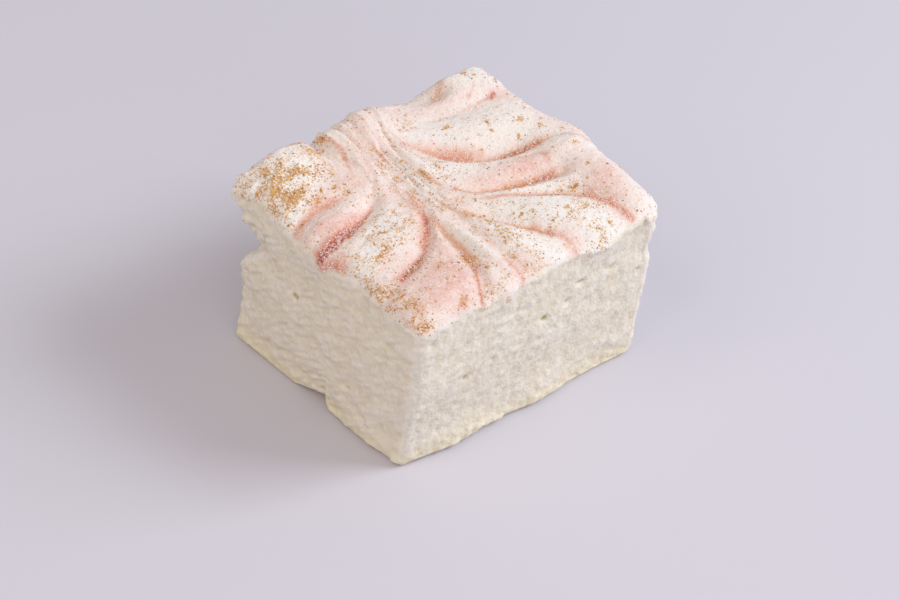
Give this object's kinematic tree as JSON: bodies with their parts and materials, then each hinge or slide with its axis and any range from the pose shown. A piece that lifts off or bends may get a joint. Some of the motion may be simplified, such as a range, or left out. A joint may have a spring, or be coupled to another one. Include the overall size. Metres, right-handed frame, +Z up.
{
  "type": "marshmallow",
  "caption": "Hand-cut square marshmallow with straight foam sides, a flat foot and a feathered, sugared pink and white top.",
  "frame": {"origin": "centre of the foot's bounding box, on the plane that the marshmallow rests on", "axes": "+X along the longer cut side, +Y across the piece towards its taller torn edge, +Z up through the feathered top"},
  "size_m": [0.0546, 0.045, 0.0346],
  "materials": {
    "foam": "matt aerated foam, dusted with starch and sugar"
  },
  "bodies": {
    "root": {"marshmallow": "foam"}
  },
  "joints": []
}
